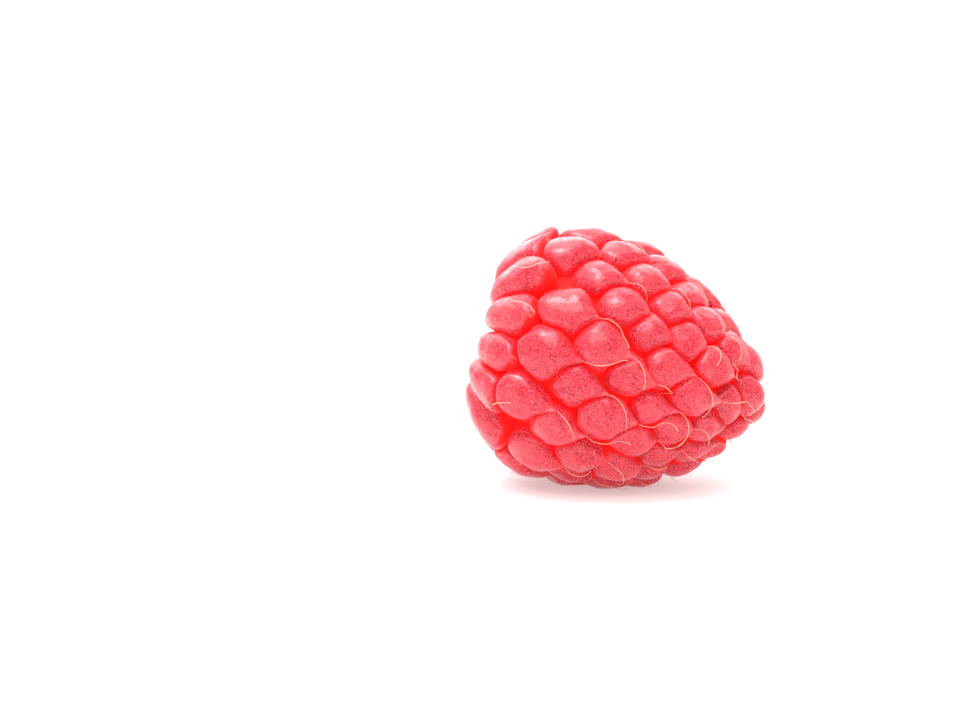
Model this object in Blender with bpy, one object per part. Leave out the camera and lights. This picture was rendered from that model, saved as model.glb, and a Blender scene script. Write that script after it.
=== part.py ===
"""A picked raspberry lying on its side: drupelets pressed together round a hollow open at one end.

Metres, +Z up. The berry lies along X, its tip towards +X and a little down, its mouth towards -X.
The origin is on the surface that it lies on, under the middle of its bounding box.

The berry is laid out in its own frame first: x runs along its axis, from 0 at the mouth to LENGTH
at the tip. It is then rolled and tipped the way it lies, and flattened a little where it rests.
"""

import math
import random
from collections import namedtuple

import bmesh
import bpy
from mathutils import Matrix, Vector

MM = 0.001

# The berry's outline.
LENGTH = 24.6 * MM
DIAMETER = 22.9 * MM
WAIST_X = 7.5 * MM  # where it is widest
DOME = 2.1 * MM  # how far a drupelet stands out of the bed, the surface through the drupelets' centres
TIP_DOME = 1.8 * MM
BED_RADIUS = DIAMETER / 2 - DOME
BED_TIP_X = LENGTH - TIP_DOME
SHOULDER = 0.14  # share of the bed's radius lost between the waist and the mouth
BLUNTNESS = 0.75  # power of the curve from the waist to the tip

# The drupelets on the flank, which start in a spiral and settle.
DIVERGENCE = math.radians(139.4)  # the turn from each drupelet to the next
FIRST_X = 4.3 * MM
SPACING = 3.95 * MM  # of the first drupelets' centres
TIP_SPACING = 2.9 * MM
PLUMPNESS = 1.55  # half-width of an unpressed drupelet against half the spacing
SIZE_VARIATION = 0.12
PLACE_VARIATION = 0.6 * MM
SETTLING_ROUNDS = 12
SETTLING_REACH = 0.94  # of a spacing, within which drupelets push each other apart
SETTLING_SHARE = 0.3  # of the distance that two drupelets lack, gained in each round
LEAN = math.radians(9)  # of a drupelet towards the tip
TAPER = 0.32  # share of a drupelet's width lost towards its tip end

# The drupelets round the rim, longer than wide, which turn over into the hollow.
RIM_COUNT = 15
RIM_X = 2.0 * MM
RIM_RADIUS = 7.5 * MM
RIM_HALF_WIDTH = 2.3 * MM
RIM_HALF_LENGTH = 3.7 * MM
RIM_DOME = 1.9 * MM
RIM_REACH = 1.7 * MM  # towards the flank
RIM_TURN = math.radians(48)  # from straight outwards to straight out of the mouth
RIM_VARIATION = 0.25 * MM  # along the axis
RIM_UNEVENNESS = 0.12  # of the steps round the rim

# How drupelets press on each other.
SHARPNESS = 12  # of the edges between a drupelet's flats and its dome
OVERLAP = 1.18  # each flat is this much too far out, so that neighbours fuse
NEIGHBOURHOOD = 2.8 * SPACING
ROOT_DEPTH = 2.4 * MM
SIDES = 10
RINGS = 6

# The hollow, and the flesh round it that carries the drupelets.
MOUTH_RADIUS = 4.9 * MM
HOLLOW_END_RADIUS = 2.9 * MM
HOLLOW_DEPTH = 16.5 * MM
FLESH_RISE = 0.7 * MM  # of the flesh's outer side above the bed
FLESH_START_X = 1.6 * MM
FLESH_CURL = 1.8 * MM  # how far the flesh's outer side curves in under the rim
FLESH_CURL_LENGTH = 3.5 * MM
FLESH_SIDES = 24
PROFILE_STEPS = 7

# How the berry lies.
ROLL = math.radians(276)
TIP_DOWN = math.radians(13)
MOUTH_CENTRE = Vector((-10.7, -0.06, 12.86)) * MM
CUTTER_SIDE = 40 * MM  # of the block that flattens the underside
CREASE_ANGLE = math.radians(50)  # from which an edge is shaded sharp

SEED = 28

Seat = namedtuple("Seat", "x angle size spacing")
Drupelet = namedtuple("Drupelet", "centre frame half_width half_length dome reach")


def clear_scene():
    for obj in list(bpy.data.objects):
        bpy.data.objects.remove(obj, do_unlink=True)


def bed_radius(x):
    """Distance from the berry's axis to the bed."""
    if x < WAIST_X:
        return BED_RADIUS * (1 - SHOULDER * ((WAIST_X - x) / WAIST_X) ** 2)
    along = min(1.0, (x - WAIST_X) / (BED_TIP_X - WAIST_X))
    return BED_RADIUS * (1 - along**2) ** BLUNTNESS


def bed_slope(x):
    """Change of the bed's radius per step along the axis."""
    reach = 0.1 * MM
    ahead = min(x + reach / 2, BED_TIP_X)
    return (bed_radius(ahead) - bed_radius(ahead - reach)) / reach


def turning_radius(x, spacing):
    """The bed's radius, kept from vanishing at the tip, where one drupelet fills the whole turn."""
    return max(bed_radius(x), spacing / 3)


def spoke(angle):
    """The direction straight away from the berry's axis."""
    return Vector((0, math.cos(angle), math.sin(angle)))


def on_bed(seat):
    """The point of the bed that a seat stands for."""
    return Vector((seat.x, 0, 0)) + bed_radius(seat.x) * spoke(seat.angle)


def frame_at(angle, tilt):
    """A drupelet's axes as columns: tipwards, sideways, outwards. tilt turns outwards to the tip."""
    axis = Vector((1, 0, 0))
    outwards = spoke(angle) * math.cos(tilt) + axis * math.sin(tilt)
    tipwards = axis * math.cos(tilt) - spoke(angle) * math.sin(tilt)
    return Matrix((tipwards, outwards.cross(tipwards), outwards)).transposed()


def rim_drupelets(draw):
    """A ring of drupelets, each turned over from the flank into the mouth."""
    found = []
    for index in range(RIM_COUNT):
        angle = math.tau * (index + draw.uniform(-RIM_UNEVENNESS, RIM_UNEVENNESS)) / RIM_COUNT
        size = 1 + draw.uniform(-SIZE_VARIATION, SIZE_VARIATION)
        x = RIM_X + draw.uniform(-RIM_VARIATION, RIM_VARIATION)
        found.append(
            Drupelet(
                centre=Vector((x, 0, 0)) + RIM_RADIUS * spoke(angle),
                frame=frame_at(angle, -RIM_TURN),
                half_width=RIM_HALF_WIDTH * size,
                half_length=RIM_HALF_LENGTH * size,
                dome=RIM_DOME * size,
                reach=RIM_REACH * size,
            )
        )
    return found


def spiral_seats(draw):
    """Where flank drupelets start: a loose spiral to the tip, each one turn on from the last."""
    seats = []
    x = FIRST_X
    while x < BED_TIP_X:
        spacing = SPACING + (TIP_SPACING - SPACING) * (x - FIRST_X) / (BED_TIP_X - FIRST_X)
        radius = turning_radius(x, spacing)
        astray = draw.uniform(-1, 1) * PLACE_VARIATION / radius
        size = 1 + draw.uniform(-SIZE_VARIATION, SIZE_VARIATION)
        seats.append(Seat(x, len(seats) * DIVERGENCE + astray, size, spacing))
        # Each drupelet takes up the same share of a hexagonal packing.
        x += spacing**2 * math.sqrt(3) / 2 / (math.tau * radius) / math.hypot(1, bed_slope(x))
    return seats


def settled(seats, rim):
    """The seats once each has moved along the bed, away from those that crowd it."""
    for _ in range(SETTLING_ROUNDS):
        crowd = [(on_bed(seat), seat.spacing * seat.size / 2) for seat in seats]
        crowd += [(drupelet.centre, drupelet.reach) for drupelet in rim]
        moved = []
        for seat, (centre, reach) in zip(seats, crowd):
            push = Vector()
            for other, other_reach in crowd:
                away = centre - other
                lack = (reach + other_reach) * SETTLING_REACH - away.length
                if away.length > 0 and lack > 0:
                    push += away.normalized() * lack * SETTLING_SHARE
            slope = bed_slope(seat.x)
            tipwards, sideways, _ = frame_at(seat.angle, math.atan(-slope)).transposed()
            x = seat.x + push.dot(tipwards) / math.hypot(1, slope)
            turn = push.dot(sideways) / turning_radius(seat.x, seat.spacing)
            moved.append(seat._replace(x=min(x, BED_TIP_X), angle=seat.angle - turn))
        seats = moved
    return seats


def flank_drupelets(seats):
    """A drupelet on each seat, leaning a little towards the tip."""
    found = []
    for seat in seats:
        share = (seat.x - FIRST_X) / (BED_TIP_X - FIRST_X)
        half = seat.spacing * seat.size / 2
        found.append(
            Drupelet(
                centre=on_bed(seat),
                frame=frame_at(seat.angle, math.atan(-bed_slope(seat.x)) + LEAN),
                half_width=PLUMPNESS * half,
                half_length=PLUMPNESS * half,
                dome=(DOME + (TIP_DOME - DOME) * share) * seat.size,
                reach=half,
            )
        )
    return found


def squeezed(offset, drupelet, others):
    """Where the surface point at offset from a drupelet's centre ends up, pressed by its neighbours.

    Each neighbour is a flat wall between the two centres, nearer the smaller of them. The walls
    blend into the dome as the terms of one high-power mean do.
    """
    total = 1.0
    for other in others:
        between = other.centre - drupelet.centre
        share = drupelet.reach / (drupelet.reach + other.reach)
        wall = OVERLAP * share * between.length_squared
        total += max(0.0, offset.dot(between) / wall) ** SHARPNESS
    return drupelet.centre + offset * total ** (-1 / SHARPNESS)


def drupelet_object(name, drupelet, others):
    """One pressed drupelet: a ball made to its sizes, narrower tipwards, then squeezed."""
    near = [o for o in others if (o.centre - drupelet.centre).length < NEIGHBOURHOOD]
    mesh = bpy.data.meshes.new(name)
    ball = bmesh.new()
    bmesh.ops.create_uvsphere(ball, u_segments=SIDES, v_segments=RINGS, radius=1)
    for vertex in ball.verts:
        tipwards, sideways, outwards = vertex.co
        local = Vector(
            (
                tipwards * drupelet.half_length,
                sideways * drupelet.half_width * (1 - TAPER * max(0.0, tipwards) ** 2),
                outwards * (drupelet.dome if outwards > 0 else ROOT_DEPTH),
            )
        )
        vertex.co = squeezed(drupelet.frame @ local, drupelet, near)
    ball.to_mesh(mesh)
    ball.free()
    return bpy.data.objects.new(name, mesh)


def hollow_radius(x):
    """The hollow's radius: a straight taper that closes in a round end."""
    taper = MOUTH_RADIUS + (HOLLOW_END_RADIUS - MOUTH_RADIUS) * x / HOLLOW_DEPTH
    end = max(0.0, (x - (HOLLOW_DEPTH - HOLLOW_END_RADIUS)) / HOLLOW_END_RADIUS)
    return taper * math.sqrt(max(0.0, 1 - end**2))


def flesh_radius(x):
    """The flesh's outer radius."""
    curl = max(0.0, 1 - (x - FLESH_START_X) / FLESH_CURL_LENGTH) ** 2
    return bed_radius(x) + FLESH_RISE - FLESH_CURL * curl


def flesh_object():
    """The cup of flesh round the hollow: its profile, spun round the berry's axis."""
    tip = BED_TIP_X + FLESH_RISE
    shares = [math.sin(math.pi / 2 * step / PROFILE_STEPS) for step in range(PROFILE_STEPS + 1)]
    inner_xs = [FLESH_START_X + (HOLLOW_DEPTH - FLESH_START_X) * share for share in shares]
    outer_xs = [FLESH_START_X + (tip - FLESH_START_X) * share for share in shares[:-1]]
    inner = [Vector((x, 0, hollow_radius(x))) for x in inner_xs]
    outer = [Vector((x, 0, flesh_radius(x))) for x in outer_xs]
    return spun("flesh", inner[::-1] + outer + [Vector((tip, 0, 0))], FLESH_SIDES)


def spun(name, profile, sides):
    """A closed solid: the profile, from axis to axis, spun round X."""
    mesh = bpy.data.meshes.new(name)
    solid = bmesh.new()
    corners = [solid.verts.new(point) for point in profile]
    edges = [solid.edges.new(pair) for pair in zip(corners, corners[1:])]
    bmesh.ops.spin(
        solid,
        geom=corners + edges,
        cent=(0, 0, 0),
        axis=(1, 0, 0),
        angle=math.tau,
        steps=sides,
        use_merge=True,
    )
    bmesh.ops.remove_doubles(solid, verts=solid.verts, dist=0.001 * MM)
    bmesh.ops.recalc_face_normals(solid, faces=solid.faces)
    solid.to_mesh(mesh)
    solid.free()
    return bpy.data.objects.new(name, mesh)


def apply_boolean(obj, operation, collection):
    """Runs one Boolean between obj and the collection's objects, keeps the result and removes them."""
    modifier = obj.modifiers.new(operation.lower(), "BOOLEAN")
    modifier.operation = operation
    modifier.operand_type = "COLLECTION"
    modifier.collection = collection
    modifier.solver = "EXACT"
    bpy.context.view_layer.update()
    graph = bpy.context.evaluated_depsgraph_get()
    result = bpy.data.meshes.new_from_object(obj.evaluated_get(graph))
    obj.modifiers.remove(modifier)
    obj.data = result
    for other in list(collection.objects):
        bpy.data.objects.remove(other, do_unlink=True)


def as_it_lies():
    """Carries the berry's own frame to where it lies."""
    return (
        Matrix.Translation(MOUTH_CENTRE)
        @ Matrix.Rotation(TIP_DOWN, 4, "Y")
        @ Matrix.Rotation(ROLL, 4, "X")
    )


def floor_cutter():
    """A block below the surface that the berry lies on."""
    mesh = bpy.data.meshes.new("floor_cutter")
    block = bmesh.new()
    bmesh.ops.create_cube(block, size=CUTTER_SIDE, matrix=Matrix.Translation((0, 0, -CUTTER_SIDE / 2)))
    block.to_mesh(mesh)
    block.free()
    return bpy.data.objects.new("floor_cutter", mesh)


def skin():
    """The berry's material."""
    material = bpy.data.materials.new("raspberry_skin")
    material.use_nodes = True
    shader = material.node_tree.nodes["Principled BSDF"]
    shader.inputs["Base Color"].default_value = (0.78, 0.045, 0.085, 1)
    shader.inputs["Roughness"].default_value = 0.45
    shader.inputs["Metallic"].default_value = 0.0
    return material


def main():
    clear_scene()
    draw = random.Random(SEED)
    rim = rim_drupelets(draw)
    drupelets = rim + flank_drupelets(settled(spiral_seats(draw), rim))
    parts = bpy.data.collections.new("repeats")
    bpy.context.scene.collection.children.link(parts)
    for index, drupelet in enumerate(drupelets):
        others = drupelets[:index] + drupelets[index + 1 :]
        parts.objects.link(drupelet_object(f"drupelet_{index:02d}", drupelet, others))

    berry = flesh_object()
    berry.name = "berry"
    bpy.context.scene.collection.objects.link(berry)
    apply_boolean(berry, "UNION", parts)
    berry.data.transform(as_it_lies())
    parts.objects.link(floor_cutter())
    apply_boolean(berry, "DIFFERENCE", parts)
    bpy.data.collections.remove(parts)

    berry.data.materials.clear()
    berry.data.materials.append(skin())
    berry.data.shade_smooth()
    berry.data.set_sharp_from_angle(angle=CREASE_ANGLE)


main()
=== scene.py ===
"""A picked raspberry lying on its side, in detail: pressed drupelets, their styles and their down.

Metres, +Z up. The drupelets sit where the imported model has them. The berry is laid out in its own
frame first: x runs along its axis, from 0 at the mouth to the tip.
"""

import math
import random
from collections import namedtuple

import bmesh
import bpy
from mathutils import Matrix, Vector


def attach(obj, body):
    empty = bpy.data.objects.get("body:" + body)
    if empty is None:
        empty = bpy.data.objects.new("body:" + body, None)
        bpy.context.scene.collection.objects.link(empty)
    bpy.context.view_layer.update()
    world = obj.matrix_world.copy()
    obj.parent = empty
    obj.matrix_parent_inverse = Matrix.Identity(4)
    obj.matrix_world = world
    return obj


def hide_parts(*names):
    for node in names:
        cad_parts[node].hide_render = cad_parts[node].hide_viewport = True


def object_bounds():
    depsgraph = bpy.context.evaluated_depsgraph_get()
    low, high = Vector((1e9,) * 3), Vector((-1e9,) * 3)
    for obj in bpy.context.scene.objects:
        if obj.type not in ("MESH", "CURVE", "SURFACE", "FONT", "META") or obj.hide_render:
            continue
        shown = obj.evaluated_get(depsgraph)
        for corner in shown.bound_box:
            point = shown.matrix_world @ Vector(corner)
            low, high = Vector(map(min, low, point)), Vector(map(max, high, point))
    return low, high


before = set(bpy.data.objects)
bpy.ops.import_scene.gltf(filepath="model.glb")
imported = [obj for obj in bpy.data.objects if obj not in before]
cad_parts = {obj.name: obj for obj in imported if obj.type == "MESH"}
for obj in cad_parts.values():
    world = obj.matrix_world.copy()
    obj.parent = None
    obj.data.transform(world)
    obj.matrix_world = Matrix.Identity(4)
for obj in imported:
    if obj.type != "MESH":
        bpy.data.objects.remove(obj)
packed_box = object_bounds()

MM = 0.001

# The berry's outline.
LENGTH = 24.6 * MM
DIAMETER = 22.9 * MM
WAIST_X = 7.5 * MM  # where it is widest
DOME = 2.1 * MM  # how far a drupelet stands out of the bed, the surface through the drupelets' centres
TIP_DOME = 1.8 * MM
BED_RADIUS = DIAMETER / 2 - DOME
BED_TIP_X = LENGTH - TIP_DOME
SHOULDER = 0.14  # share of the bed's radius lost between the waist and the mouth
BLUNTNESS = 0.75  # power of the curve from the waist to the tip

# The drupelets on the flank, which start in a spiral and settle. Pairs are the ends of a random draw.
DIVERGENCE = math.radians(139.4)  # the turn from each drupelet to the next
FIRST_X = 4.3 * MM
SPACING = 3.95 * MM  # of the first drupelets' centres
TIP_SPACING = 2.9 * MM
PLUMPNESS = 1.34  # half-width of an unpressed drupelet against half the spacing
SIZE_VARIATION = 0.12
PLACE_VARIATION = 0.6 * MM
SETTLING_ROUNDS = 12
SETTLING_REACH = 0.94  # of a spacing, within which drupelets push each other apart
SETTLING_SHARE = 0.3  # of the distance that two drupelets lack, gained in each round
LEAN = math.radians(9)  # of a drupelet towards the tip
TAPER = (0.32, 0.55)  # share of a drupelet's width lost towards its tip end
SLANT = 0.25  # share that a dome gains in height towards its tip end and loses behind
POINTED = (0.4, 1.6)  # how far a beak and its ridge stand out
BLUNT = 0.15  # the same on the rim and at the berry's tip
BLUNT_REACH = 3.0 * MM  # from the berry's tip
FIRST_ROW_X = 7.0 * MM
FIRST_ROW_STRETCH = 0.35  # of the mouth ends of the drupelets next to the rim

# The drupelets round the rim, longer than wide, which turn over into the hollow.
RIM_COUNT = 15
RIM_X = 2.0 * MM
RIM_RADIUS = 7.5 * MM
RIM_HALF_WIDTH = 2.3 * MM
RIM_HALF_LENGTH = 3.7 * MM
RIM_DOME = 1.9 * MM
RIM_REACH = 1.7 * MM  # towards the flank
RIM_TURN = math.radians(48)  # from straight outwards to straight out of the mouth
RIM_VARIATION = 0.25 * MM  # along the axis
RIM_TAPER = 0.12
RIM_STRETCH = 0.25  # of a rim drupelet's flank end, to fill the gaps behind it
RIM_SHOWN = 0.7  # how much further down its mouth end a rim drupelet keeps the face's colour
RIM_UNEVENNESS = 0.12  # of the steps round the rim
SEED = 28

# How drupelets press on each other, and their finer shape.
SHARPNESS = 6  # of the edges between a drupelet's flats and its dome
OVERLAP = 1.12  # each flat is this much too far out, so that neighbours fuse
RIM_ROOT = 3.0 * MM
SOLID_ROOT = 3.0 * MM  # of a drupelet beyond the hollow
KNOB = 0.4 * MM  # how far a root stands into the hollow
SIDES = 52  # of the ball that a drupelet starts as
RINGS = 28
CREASE_DEPTH = 0.05  # share of a drupelet's size that its edge draws in beside a neighbour
DRAWN_IN = (0.66, 0.9)  # closeness to a neighbour from which an edge draws in, and where it ends
CREASED = (0.72, 0.93)  # closeness from which the skin turns to a crease's red, brightened as painted glow, and where it ends
OUTER_SIDE = (-0.3, 0.2)  # height on the ball from which an edge draws in, and where it does in full
RED_BELOW = (0.12, -0.12)  # height on the ball below which the skin turns a crease's red, painted glow where shade would fall, and is all red
RED_BELOW_IN_FRONT = (0.45, 0.1)  # the same on the tip side, which slants over the next drupelet
IN_FRONT = (-0.1, 0.3)  # where the tip side starts along the ball, and where it counts in full
BEAK = 0.30 * MM  # the point that the style grows from
BEAK_WIDTH = 0.24  # against the drupelet's own size
BEAK_SHOWS = 0.02  # of its own height, below which a beak is pressed away
BEAK_AT = Vector((0.83, 0.0, 0.56))  # tipwards, sideways, outwards
BEAK_LIFT = 0.5  # how far outwards a beak is drawn for each step tipwards
BEAK_MARK = 0.5  # how far round it the skin counts as the beak's, on the ball
RIDGE = 0.6 * MM  # of the blunt corner that the beak stands on
RIDGE_WIDTH = 0.7
DENT = 0.34 * MM  # depth of the broad dents
DENT_SIZE = 2.1 * MM
PUCKER = 0.10 * MM  # depth of the fine ones
PUCKER_SIZE = 0.8 * MM
DRIFT = 0.9 * MM  # how far a drupelet's outline strays sideways
DRIFT_SIZE = 2.8 * MM
CREASE_ANGLE = math.radians(38)  # from which an edge is shaded sharp

# The hollow, and the flesh round it that carries the drupelets.
MOUTH_RADIUS = 4.9 * MM
HOLLOW_END_RADIUS = 2.9 * MM
HOLLOW_DEPTH = 16.5 * MM
WALL_FADE = (0.9 * MM, 0.1 * MM)  # distance outside the hollow where its look starts, and is full
MOUTH_FADE = (0.4 * MM, 2.0 * MM)  # the same for the distance from the mouth
END_FADE = (HOLLOW_DEPTH + 0.6 * MM, HOLLOW_DEPTH + 0.2 * MM)  # and again, at the hollow's end
FLESH_START_X = 1.6 * MM
FLESH_CURL = 2.2 * MM  # how far the flesh's outer side curves in from the bed under the rim
FLESH_CURL_LENGTH = 5.0 * MM
FLESH_SIDES = 72
PROFILE_STEPS = 20

# The styles: the dried threads, one from a drupelet's beak.
STYLE_SHARE = 0.8  # of the flank's drupelets that have kept theirs
RIM_STYLE_SHARE = 0.4
TIP_STYLE_SHARE = 0.25
TIP_STYLE_REACH = 4.0 * MM  # from the berry's tip
STYLE_TIPWARDS = 0.8  # a style's first heading is a sum of these three
STYLE_OUTWARDS = 0.5
STYLE_ASTRAY = 0.35
STYLE_TILT = 0.6  # how far the plane that it curls in strays from upright
UPWARD_SHARE = 0.25  # of the styles, curling up first
STYLE_LENGTH = (2.5 * MM, 5.0 * MM)  # shortest and longest
STYLE_STEPS = 26
STYLE_CURL = (0.3, 2.6)  # radians turned from root to end, if it curled all along as at the root
STYLE_HOOK = (-1.5, 4.5)  # the same, as at the end
STYLE_WANDER = 0.09  # of the heading at each step, either way
STYLE_SAG = 0.03  # of the heading at each step, downwards
STYLE_RADIUS = 0.034 * MM
STYLE_TAPER = 0.45  # share of the radius lost towards the end
ROOT_FLARE = 1.3  # radii added at the root
ROOT_SHARE = 0.09  # of a style, that the flare takes up
END_FLARE = 0.5
END_SHARE = 0.07
STYLE_CLEARANCE = 0.13 * MM
STYLE_REACH = 0.35 * MM  # how far off the drupelets a style stands before it bends back
STYLE_RISE = 6  # a style reaches its clearance after one part in this many of its length
FREEING_ROUNDS = 4  # a style in a crease is pushed off one drupelet, then off the other

# The down: fine pale hairs all over.
DOWN_PER_SQUARE_METRE = 14e6
DOWN_LENGTH = 0.17 * MM
DOWN_RADIUS = 0.007 * MM
DOWN_LEAN = 1.1  # how far hairs stray from upright
DOWN_SIZES = (0.55, 1.25)  # smallest and largest, against the length
HOLLOW_DOWN = 0.7  # how much longer hairs are in the hollow
CREASE_BARENESS = 0.85  # how much shorter they are in a crease
DOWN_ABOVE = 1.3 * DOWN_LENGTH  # height above the floor from which there are hairs

# Colours of the skin.
UNRIPE = (0.74, 0.012, 0.032, 1)
RIPE = (0.62, 0.006, 0.022, 1)
PINK_PATCH = (0.78, 0.03, 0.055, 1)
PALE_SPECK = (0.86, 0.16, 0.20, 1)
DARK_SPECK = (0.22, 0.005, 0.025, 1)
# Painted sheen: the pale ring of down that catches the light at a drupelet's edge.
PAINTED_SHEEN_EDGE = (0.84, 0.15, 0.18, 1)
PALE_BEAK = (0.90, 0.26, 0.27, 1)
# The crease's red: partly the skin's own deeper red, partly painted glow of light that has come through the
# flesh.
CREASE_RED_AND_PAINTED_GLOW = (0.88, 0.007, 0.005, 1)
# The hollow's wall: partly the flesh's own red, partly painted glow of light that has come through the
# flesh.
HOLLOW_RED_AND_PAINTED_GLOW = (0.76, 0.015, 0.015, 1)
HOLLOW_PINK_AND_PAINTED_GLOW = (0.84, 0.07, 0.06, 1)

# How large the skin's markings are.
PATCH_SIZE = 2.2 * MM
BLOOM_SIZE = 1.3 * MM  # of the shinier and duller areas
BLOOM_SHIFT = (3 * MM, 0, 0)  # keeps them apart from the patches
SPECK_SIZE = 0.12 * MM
STREAK_SIZE = 0.3 * MM
GRAIN_SIZE = 0.11 * MM
UNEVENNESS_SIZE = 0.5 * MM

# Light that has come through the flesh.
FACE_GLOW = (0.02, 0.0, 0.001, 1)
CREASE_GLOW = (0.14, 0.002, 0.002, 1)
HOLLOW_GLOW = (0.20, 0.002, 0.001, 1)

# Colours of the styles, from root to end, and of the down.
STRAW = (
    (0.0, (0.74, 0.14, 0.15, 1)),
    (0.14, (0.82, 0.32, 0.24, 1)),
    (0.4, (0.86, 0.50, 0.31, 1)),
    (1.0, (0.88, 0.58, 0.38, 1)),
)
WITHERED = (0.08, 0.03, 0.015, 1)
PINK_DOWN = (0.90, 0.22, 0.26, 1)
PALE_DOWN = (1.0, 0.50, 0.52, 1)

# The studio, and the camera that looks at the middle of the berry's box.
HORIZON = 1.06  # brightness of the sky low down
ZENITH = 0.7
FLOOR_SIZE = 900 * MM  # half a side
FLOOR_GREY = (0.6, 0.6, 0.6, 1)
FLOOR_GLOW = 0.4  # makes the floor white all over, with the light that falls on it
LIGHTS = {  # direction, width in degrees, strength
    "key": ((-0.1, -0.6, 1.0), 50, 1.9),
    "back": ((-0.25, 0.7, 1.0), 90, 3.0),
    "window": ((-0.25, -0.2, 1.0), 24, 1.3),
}
AZIMUTH = math.radians(9)
ELEVATION = math.radians(9)
DISTANCE = 232.5 * MM
ASIDE = 12.0 * MM  # how far to the berry's left the camera looks
BELOW = 0.35 * MM
LENS = 100  # focal length in millimetres

# How the berry lies.
ROLL = math.radians(276)
TIP_DOWN = math.radians(13)
MOUTH_CENTRE = Vector((-10.7, -0.06, 12.86)) * MM

Seat = namedtuple("Seat", "x angle size spacing")
Drupelet = namedtuple("Drupelet", "centre frame half_width half_length dome root reach")


# ---- Where the drupelets sit ----


def bed_radius(x):
    """Distance from the berry's axis to the bed."""
    if x < WAIST_X:
        return BED_RADIUS * (1 - SHOULDER * ((WAIST_X - x) / WAIST_X) ** 2)
    along = min(1.0, (x - WAIST_X) / (BED_TIP_X - WAIST_X))
    return BED_RADIUS * (1 - along**2) ** BLUNTNESS


def bed_slope(x):
    """Change of the bed's radius per step along the axis."""
    reach = 0.1 * MM
    ahead = min(x + reach / 2, BED_TIP_X)
    return (bed_radius(ahead) - bed_radius(ahead - reach)) / reach


def turning_radius(x, spacing):
    """The bed's radius, kept from vanishing at the tip, where one drupelet fills the whole turn."""
    return max(bed_radius(x), spacing / 3)


def spoke(angle):
    """The direction straight away from the berry's axis."""
    return Vector((0, math.cos(angle), math.sin(angle)))


def on_bed(seat):
    """The point of the bed that a seat stands for."""
    return Vector((seat.x, 0, 0)) + bed_radius(seat.x) * spoke(seat.angle)


def frame_at(angle, tilt):
    """A drupelet's axes as columns: tipwards, sideways, outwards. tilt turns outwards to the tip."""
    axis = Vector((1, 0, 0))
    outwards = spoke(angle) * math.cos(tilt) + axis * math.sin(tilt)
    tipwards = axis * math.cos(tilt) - spoke(angle) * math.sin(tilt)
    return Matrix((tipwards, outwards.cross(tipwards), outwards)).transposed()


def rim_drupelets(draw):
    """A ring of drupelets, each turned over from the flank into the mouth."""
    found = []
    for index in range(RIM_COUNT):
        angle = math.tau * (index + draw.uniform(-RIM_UNEVENNESS, RIM_UNEVENNESS)) / RIM_COUNT
        size = 1 + draw.uniform(-SIZE_VARIATION, SIZE_VARIATION)
        x = RIM_X + draw.uniform(-RIM_VARIATION, RIM_VARIATION)
        found.append(
            Drupelet(
                centre=Vector((x, 0, 0)) + RIM_RADIUS * spoke(angle),
                frame=frame_at(angle, -RIM_TURN),
                half_width=RIM_HALF_WIDTH * size,
                half_length=RIM_HALF_LENGTH * size,
                dome=RIM_DOME * size,
                root=RIM_ROOT,
                reach=RIM_REACH * size,
            )
        )
    return found


def spiral_seats(draw):
    """Where flank drupelets start: a loose spiral to the tip, each one turn on from the last."""
    seats = []
    x = FIRST_X
    while x < BED_TIP_X:
        spacing = SPACING + (TIP_SPACING - SPACING) * (x - FIRST_X) / (BED_TIP_X - FIRST_X)
        radius = turning_radius(x, spacing)
        astray = draw.uniform(-1, 1) * PLACE_VARIATION / radius
        size = 1 + draw.uniform(-SIZE_VARIATION, SIZE_VARIATION)
        seats.append(Seat(x, len(seats) * DIVERGENCE + astray, size, spacing))
        # Each drupelet takes up the same share of a hexagonal packing.
        x += spacing**2 * math.sqrt(3) / 2 / (math.tau * radius) / math.hypot(1, bed_slope(x))
    return seats


def settled(seats, rim):
    """The seats once each has moved along the bed, away from those that crowd it."""
    for _ in range(SETTLING_ROUNDS):
        crowd = [(on_bed(seat), seat.spacing * seat.size / 2) for seat in seats]
        crowd += [(drupelet.centre, drupelet.reach) for drupelet in rim]
        moved = []
        for seat, (centre, reach) in zip(seats, crowd):
            push = Vector()
            for other, other_reach in crowd:
                away = centre - other
                lack = (reach + other_reach) * SETTLING_REACH - away.length
                if away.length > 0 and lack > 0:
                    push += away.normalized() * lack * SETTLING_SHARE
            slope = bed_slope(seat.x)
            tipwards, sideways, _ = frame_at(seat.angle, math.atan(-slope)).transposed()
            x = seat.x + push.dot(tipwards) / math.hypot(1, slope)
            turn = push.dot(sideways) / turning_radius(seat.x, seat.spacing)
            moved.append(seat._replace(x=min(x, BED_TIP_X), angle=seat.angle - turn))
        seats = moved
    return seats


def flank_drupelets(seats):
    """A drupelet on each seat, leaning a little towards the tip, its root reaching the hollow."""
    found = []
    for seat in seats:
        share = (seat.x - FIRST_X) / (BED_TIP_X - FIRST_X)
        half = seat.spacing * seat.size / 2
        to_hollow = bed_radius(seat.x) - hollow_radius(seat.x)
        found.append(
            Drupelet(
                centre=on_bed(seat),
                frame=frame_at(seat.angle, math.atan(-bed_slope(seat.x)) + LEAN),
                half_width=PLUMPNESS * half,
                half_length=PLUMPNESS * half,
                dome=(DOME + (TIP_DOME - DOME) * share) * seat.size,
                root=to_hollow + KNOB if seat.x < HOLLOW_DEPTH - HOLLOW_END_RADIUS else SOLID_ROOT,
                reach=half,
            )
        )
    return found


def hollow_radius(x):
    """The hollow's radius: a straight taper that closes in a round end."""
    taper = MOUTH_RADIUS + (HOLLOW_END_RADIUS - MOUTH_RADIUS) * x / HOLLOW_DEPTH
    end = max(0.0, (x - (HOLLOW_DEPTH - HOLLOW_END_RADIUS)) / HOLLOW_END_RADIUS)
    return taper * math.sqrt(max(0.0, 1 - end**2))


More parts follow.
